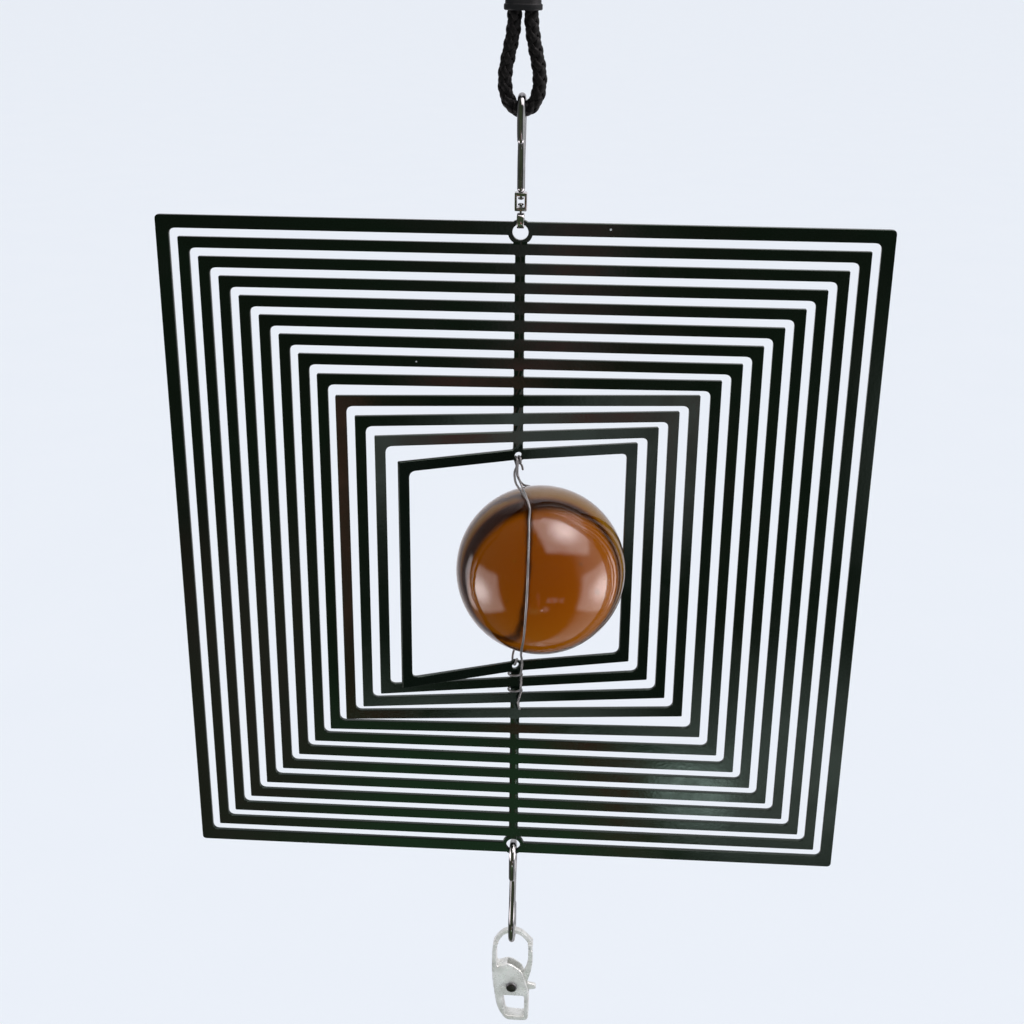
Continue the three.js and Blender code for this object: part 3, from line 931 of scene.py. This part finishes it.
def make_sheet():
    paint = painted_sheet()
    for ring in range(RINGS):
        name = f"ring_{ring + 1:02d}"
        bm = bmesh.new()
        add_plate(bm, ring_loops(ring), SHEET, SHEET_EDGE)
        if ring == RINGS - 1:
            fold_sides(bm)
        plate = finished(f"{name}_strip", bm, smooth=None, turn=TURNS[ring])
        dress(plate, name, paint, "sheet", name)
    for ring in range(1, RINGS):
        low, high = outer_half(ring) + STUB, inner_half(ring - 1) - STUB
        width = NECK
        if ring == 1:
            low, high = outer_half(1) - 0.02, outer_half(1) + TOP_NECK_REACH
            width = TOP_NECK
        for side, place in ((1, "top"), (-1, "bottom")):
            bm = bmesh.new()
            add_neck(bm, low, high, TURNS[ring], TURNS[ring - 1], side, width)
            neck = finished(f"neck_{ring:02d}_{place}", bm)
            smooth_by_angle(neck, 40)
            dress(neck, None, paint, "sheet")
            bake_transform(neck)


# ---- The ball and its two wires ----


def on_ball(x, z, side):
    """A point of a wire that lies over the ball, in front of it (side -1) or behind it (side 1)."""
    cx, cy, cz = BALL_AT
    reach = BALL_R + CAGE_GAP + CAGE_R
    return (x, cy + side * sqrt(reach**2 - (x - cx) ** 2 - (z - cz) ** 2), z)


def on_inner_ring(point):
    """A point given along and across the innermost square, turned with it about the spine."""
    along, across, z = point
    a = radians(TURNS[-1])
    return (along * cos(a) - across * sin(a), along * sin(a) + across * cos(a), z)


def wrap(z):
    """One turn of wire round a neck, inside a slot, starting and ending at front right."""
    radius, count, first, sweep, pitch = 1.55, 11, -45, -340, 0.72
    points = []
    for index in range(count):
        done = index / (count - 1)
        angle = radians(first + sweep * done)
        points.append((radius * cos(angle), radius * sin(angle), z + pitch * (0.5 - done)))
    return points


def lip_loop(lane, face):
    """Round the lower lip of the top wire hole."""
    loop = [
        (lane, face * 0.1, 23.65),
        (lane, -face * 0.95, 24.2),
        (lane, -face * 0.75, 24.95),
        (lane, 0, 25.2),
        (lane, face * 0.8, 25),
        (lane, face * 1.15, 24.3),
    ]
    return [on_inner_ring(point) for point in loop]


def front_wire():
    front = [(3.02, 16.1), (3.15, 14.2), (3.3, 12), (3.4, 7), (3.3, 0)]
    front += [(3, -6), (2.6, -11), (2, -15.5), (1.85, -17.4), (1.7, -19)]
    return [
        (1.85, -3.12, 16.95),
        (0.63, -3.2, 18.9),
        (-0.1, -2.9, 19.9),
        (-0.45, -2.4, 20.9),
        (-0.55, -1.75, 22.3),
        (-0.2, -1.17, 23.3),
        *lip_loop(-0.4, -1),
        (0.05, -1.75, 23.2),
        (0.12, -2.2, 21.8),
        (1.11, -4.2, 20.2),
        *[on_ball(x, z, -1) for x, z in front],
        (1.46, -3.5, -21.2),
        (1.63, -2.1, -23.6),
        (1.6, -2, -25.2),
        *wrap(-(inner_half(RINGS - 2) - SLOT / 2)),
        (1.45, -1.8, -29.9),
        *wrap(-(inner_half(RINGS - 3) - SLOT / 2)),
        (0.84, -2, -34.3),
        (1.2, -2, -35.9),
    ]


def back_wire():
    hook = [
        (-0.4, 1.1, -24.3),
        (-0.4, 0.75, -25),
        (-0.4, 0, -25.25),
        (-0.3, -0.8, -25),
        (-0.15, -1.1, -24.2),
        (0, -1.3, -23.4),
    ]
    back = [(0.87, 16), (2.4, 13.5), (3.6, 10), (4.4, 5.5), (4.5, 1), (3.8, -5)]
    back += [(3.7, -9), (3.6, -12.5), (3.1, -16), (1.9, -18.6)]
    return [
        (0.9, 3.9, 20.9),
        (0.75, 2.7, 22.2),
        (0.3, 1.5, 23.3),
        *lip_loop(0.4, 1),
        (-0.1, 2, 22.6),
        (-0.3, 3, 20.1),
        (0.15, 5.2, 17.8),
        *[on_ball(x, z, 1) for x, z in back],
        (0.2, 3.4, -21.6),
        (-0.5, 2, -22.9),
        *[on_inner_ring(point) for point in hook],
    ]


SEEDS = [
    (-4.5, -9.0, 5.5, 0.22),
    (8.5, -12.0, 6.8, 0.26),
    (3.2, -6.0, -9.5, 0.18),
    (-9.5, 3.0, -3.0, 0.20),
    (6.0, 8.0, -6.0, 0.24),
    (-2.0, 10.0, 8.5, 0.16),
    (-6.0, -13.5, -1.0, 0.17),
    (11.0, -3.0, -8.0, 0.19),
]


def make_ball():
    """A pressed glass ball, very slightly out of round, with a few air seeds in it."""
    bm = bmesh.new()
    bmesh.ops.create_icosphere(bm, subdivisions=6, radius=BALL_R - 0.02)
    centre = Vector(BALL_AT)
    for vert in bm.verts:
        ray = vert.co.normalized()
        swell = 0.012 * sin(3.1 * ray.x + 1.3) * cos(2.7 * ray.z - 0.6) + 0.008 * sin(5 * ray.y)
        vert.co = centre + vert.co + ray * swell
    for x, y, z, radius in SEEDS:
        seed = bmesh.ops.create_icosphere(bm, subdivisions=3, radius=radius)["verts"]
        for vert in seed:
            vert.co = centre + Vector((x, y, z)) + vert.co
        faces = {face for vert in seed for face in vert.link_faces}
        bmesh.ops.reverse_faces(bm, faces=list(faces))
    ball = finished("ball_glass", bm, tidy=False)
    dress(ball, "ball", amber_glass(), "glass", "glass_ball")
    pale, dark = (0.26, 0.25, 0.25), (0.13, 0.125, 0.125)
    steel = metal("cage_wire", pale, dark, 0.38, (3000, 3000, 200), 0.06, 0.5)
    for name, points in (("front", front_wire()), ("back", back_wire())):
        bm = bmesh.new()
        add_tube(bm, even(catmull(points, 10), 0.25), CAGE_R, 14)
        wire = finished(f"wire_{name}", bm)
        dress(wire, "ball_cage", steel, "cage_wire", f"cage_wire_{name}")


# ---- Hooks, swivel and eye ----


def rivet_head(level, way):
    """A domed head from its flat face at level; way is +1 upwards and -1 downwards."""
    big, tall = RIVET_HEAD_R, RIVET_HEAD_TALL
    face = [(0.0, RIVET_R), (0.01, big * 0.88), (0.07, big), (tall * 0.55, big)]
    face += [(tall * 0.85, big * 0.8), (tall, big * 0.4)]
    return [(level + way * height, radius) for height, radius in face]


def hook_radius(t):
    """The upper hook's wire, a tenth thinner at its tip than further along."""
    return HOOK_R * (1 - 0.10 * max(0.0, 1 - t / 0.08) ** 2)


def make_upper_hook(chrome):
    bend = CORD_R + GAP + HOOK_R
    route = [
        (0, -bend + 0.1, HOOK_TIP_Z),
        (0, -bend, HOOK_TIP_Z + 2.6),
        *arc(0, 0, BIGHT_Z, bend, 180, 0, 9),
        (0, bend - 0.15, BIGHT_Z - 2.4),
        (0, 1.3, 92.6),
        (0, 0.25, 89.6),
        (0, 0, 87.4),
        (0, 0, 85),
        (0, 0, SWIVEL_TOP_Z + GAP + 0.4),
    ]
    bm = bmesh.new()
    line = even(catmull(route, 10), 0.3)
    add_tube(bm, line, hook_radius, 28)
    top = SWIVEL_TOP_Z - BRIDGE - GAP
    add_turned(bm, 0, 0, [(SWIVEL_TOP_Z + GAP + 0.2, RIVET_R), *rivet_head(top, -1)])
    hook = finished("hook_upper", bm)
    smooth_by_angle(hook, 40)
    dress(hook, "upper_hook", chrome, "hook_steel", "upper_hook")


def link_outline(half, low, high, rounding):
    corners = [(half, high), (-half, high), (-half, low), (half, low)]
    return rounded([(x, z, rounding) for x, z in corners], 10)


def make_swivel(chrome):
    middle = SWIVEL_TOP_Z - SWIVEL_TALL / 2
    inside = SWIVEL_WIDE - SWIVEL_WALL * 2
    box = block("swivel_box", 0, 0, middle, SWIVEL_WIDE, SWIVEL_DEEP, SWIVEL_TALL)
    window = block("cutter", 0, 0, middle, inside, 4, SWIVEL_TALL - BRIDGE * 2)
    bm = bmesh.new()
    add_turned(bm, 0, 0, [(z, RIVET_R + RIVET_GAP) for z in (middle - 4, middle + 4)])
    bore = finished("cutter", bm, smooth=False)
    cut(box, window, bore)
    soften(box, 0.14, 3, 50)
    dress(box, "swivel_frame", chrome, "hook_steel", "swivel_frame")

    bm = bmesh.new()
    outer = link_outline(LINK_HALF, LINK_LOW_Z, LINK_HIGH_Z, LINK_HALF - 0.1)
    hole = LINK_HALF - LINK_THICK
    low, high = LINK_LOW_Z + LINK_THICK, LINK_HIGH_Z - LINK_THICK
    add_plate(bm, [outer, link_outline(hole, low, high, hole - 0.1)], LINK_WIDE, 0.2, rounds=4)
    head = SWIVEL_TOP_Z - SWIVEL_TALL + BRIDGE + GAP
    add_turned(bm, 0, 0, [(LINK_HIGH_Z - 0.25, RIVET_R), *rivet_head(head, 1)])
    eye = finished("swivel_loop", bm, turn=90)
    smooth_by_angle(eye, 40)
    dress(eye, "swivel_eye", chrome, "hook_steel", "swivel_eye")


def make_lower_hook(chrome):
    high, low = S_TOP_Z - S_BEND_R, S_BOTTOM_Z + S_BEND_R
    bend = S_BEND_R
    route = [
        (0, -bend + 0.1, high - 4.6),
        (0, -bend, high - 2.3),
        *arc(0, 0, high, bend, 180, 0, 9),
        (0, bend - 0.1, high - 2.6),
        (0, 1.2, high - 6.6),
        (0, -1.2, low + 6.6),
        (0, -bend + 0.1, low + 2.6),
        *arc(0, 0, low, bend, 180, 360, 9),
        (0, bend, low + 2.3),
        (0, bend - 0.1, low + 4.6),
    ]
    bm = bmesh.new()
    add_tube(bm, even(catmull(route, 10), 0.3), HOOK_R, 28)
    hook = finished("hook_lower", bm)
    dress(hook, "lower_hook", chrome, "hook_steel", "lower_hook")


def make_eye(chrome):
    middle = HANG_Z + EYE_WIRE_R - EYE_R
    loop = []
    for index in range(21):
        a = radians(-82 + index / 20 * 322)
        loop.append((EYE_R * cos(a), 0, middle + EYE_R * sin(a)))
    foot = FERRULE_Z + FERRULE_TALL - EYE_STEM_DEEP
    stem = [(0, 0, foot), (0, 0, foot + 1.5), (0, 0, middle - EYE_R - 0.6)]
    bm = bmesh.new()
    add_tube(bm, even(catmull(stem + loop, 10), 0.3), EYE_WIRE_R, 24)
    eye = finished("eye_wire", bm)
    dress(eye, "hanger", chrome, "hook_steel", "hanging_eye")


# ---- Ferrule ----


def oval(half, radius, count=12):
    """An oval outline: two half circles joined by straight sides."""
    points = []
    for centre, start in ((half - radius, -90), (radius - half, 90)):
        for step in range(count + 1):
            a = radians(start + 180 * step / count)
            points.append((centre + radius * cos(a), radius * sin(a)))
    return points


def make_ferrule():
    """A moulded oval sleeve with a lip at its lower end."""
    top = FERRULE_Z + FERRULE_TALL
    profile = [(0.0, -0.45), (0.0, -0.15), (0.12, -0.03), (0.3, 0.0), (0.95, 0.0)]
    profile += [(1.12, -0.06), (1.2, -0.2), (1.28, -0.25)]
    profile += [(FERRULE_TALL - 0.7, -0.25), (FERRULE_TALL - 0.35, -0.34)]
    profile += [(FERRULE_TALL - 0.1, -0.6), (FERRULE_TALL, -1.0)]
    bm = bmesh.new()
    rows = []
    for height, grow in profile:
        outline = oval(FERRULE_HALF_WIDE + grow, FERRULE_HALF_DEEP + grow)
        rows.append([bm.verts.new((x, y, FERRULE_Z + height)) for x, y in outline])
    add_skin(bm, rows)
    sleeve = finished("ferrule_sleeve", bm)
    cutters = []
    for side in (-1, 1):
        bm = bmesh.new()
        ends = (FERRULE_Z - 1, FERRULE_Z + CORD_BORE_DEEP)
        add_turned(bm, side * CORD_X, 0, [(z, CORD_R + BORE_PLAY) for z in ends])
        cutters.append(finished("cutter", bm, smooth=False))
    bm = bmesh.new()
    add_turned(bm, 0, 0, [(z, EYE_WIRE_R + GAP) for z in (top - EYE_BORE_DEEP, top + 1)])
    cutters.append(finished("cutter", bm, smooth=False))
    cut(sleeve, *cutters)
    smooth_by_angle(sleeve, 40)
    black = moulded("ferrule_black", (0.010, 0.010, 0.011), (0.03, 0.03, 0.032), 0.42)
    dress(sleeve, "hanger", black, "ferrule", "ferrule")


# ---- Clasp ----

CLASP_OUTLINE = [
    (1.9, CLASP_BAR_Z + 0.5, 1.6),
    (-1.7, CLASP_BAR_Z + 0.5, 1.8),
    (-4.9, -102.4, 3.6),
    (-4.9, -112.6, 3),
    (-3.6, -122.2, 3),
    (-1.3, -125.8, 1.2),
    (4.4, -125.8, 1.4),
    (4.4, -116.6, 1.2),
    (3.3, -112.9, 1.2),
    (2.6, -110.6, 1),
    (-0.6, -108.3, 1.4),
    (-3.7, -109.6, 0.9),
    (-3.8, -103, 2.6),
    (-1.7, CLASP_BAR_Z - 0.45, 1.4),
    (1.7, CLASP_BAR_Z - 0.45, 1.4),
    (4.1, -102.2, 1.8),
    (4.1, -104.1, 0.2),
    (5.2, -104.1, 0.4),
    (5.2, -102, 2.8),
]
TAIL_WINDOW = [(-2.4, -118.2, 0.9), (-1.4, -124.3, 0.9), (3.3, -124.6, 0.8), (3.3, -118.2, 0.8)]
LEVER = [
    (-1.6, -116.6, 1.3),
    (1.9, -117.0, 0.8),
    (6.3, -116.2, 0.7),
    (6.1, -114.9, 0.6),
    (3.9, -114.6, 0.8),
    (5.3, -109.5, 3),
    (5.2, -104.5, 0.8),
    (4.1, -104.6, 0.3),
    (4.1, -109, 3),
    (2.0, -113.0, 1.2),
    (-1.5, -113.4, 1.4),
]


def make_clasp(plated):
    px, pz = PIVOT
    bm = bmesh.new()
    loops = [rounded(CLASP_OUTLINE, 8), rounded(TAIL_WINDOW, 8)]
    add_plate(bm, loops, CLASP_THICK, CLASP_EDGE, rounds=5)
    frame_piece = finished("clasp_frame", bm, smooth=None)
    slot = [(-2.7, -117.4, 0.6), (6, -117.4, 0), (6, -106, 0), (0.2, -106, 0), (-2.7, -112, 0.6)]
    bm = bmesh.new()
    add_plate(bm, [rounded(slot)], LEVER_SLOT, 0.05, rounds=1)
    cutters = [finished("cutter", bm, smooth=False)]
    bm = bmesh.new()
    add_turned(bm, px, pz, [(y, PIVOT_R + GAP) for y in (-4, 4)], axis="Y")
    cutters.append(finished("cutter", bm, smooth=False))
    for side in (-1, 1):
        y = side * (CLASP_BAR_THICK / 2 + 1)
        cutters.append(block("cutter", 0, y, CLASP_BAR_Z, 16, 2, 6.6))
    cut(frame_piece, *cutters)
    soften(frame_piece, 0.12, 2, 50)
    dress(frame_piece, "clasp", plated, "clasp_metal", "clasp_body")

    bm = bmesh.new()
    loops = [rounded(LEVER, 8), circle(px, pz, PIVOT_R + GAP)]
    add_plate(bm, loops, LEVER_THICK, 0.2, LEVER_Y)
    lever = finished("clasp_lever", bm, smooth=None)
    dress(lever, "clasp_gate", plated, "clasp_metal", "clasp_gate")

    out = CLASP_THICK / 2 + GAP
    half = [(out, PIVOT_R), (out + 0.005, 1.28), (out + 0.1, 1.35), (out + 0.3, 1.3)]
    half += [(out + 0.45, 1.05), (out + 0.5, 0.6)]
    pin = [(-y, r) for y, r in reversed(half)] + half
    bm = bmesh.new()
    add_turned(bm, px, pz, pin, axis="Y")
    rivet = finished("clasp_rivet", bm)
    smooth_by_angle(rivet, 45)
    # Painted shade: the rivet and the spring get a dark metal that stands for the shade in the
    # clasp's pivot.
    dark = metal("pivot_painted_shade", (0.16, 0.16, 0.17), (0.04, 0.04, 0.04), 0.35, (900, 900, 900))
    dress(rivet, "clasp", dark, "clasp_metal", "clasp_pin")

    coil = []
    for index in range(60):
        share = index / 59
        a = share * SPRING_TURNS * 2 * pi
        x, z = px + SPRING_COIL_R * cos(a), pz + SPRING_COIL_R * sin(a)
        coil.append(Vector((x, 0.35 + share * 0.5, z)))
    bm = bmesh.new()
    add_tube(bm, coil, SPRING_R, 12)
    dress(finished("clasp_coil", bm), "clasp", dark, "clasp_metal", "clasp_spring")


add_camera()
make_cord()
add_lights()
add_floor()
add_world()
make_sheet()
make_ball()
bright = metal("chrome", (0.42, 0.42, 0.43), (0.27, 0.27, 0.28), 0.09, (1600, 1600, 500), 0.04)
satin = metal("plated", (0.88, 0.88, 0.85), (0.64, 0.64, 0.60), 0.28, (700, 700, 700), 0.2, 0.35)
make_upper_hook(bright)
make_swivel(bright)
make_lower_hook(bright)
make_eye(bright)
make_ferrule()
make_clasp(satin)
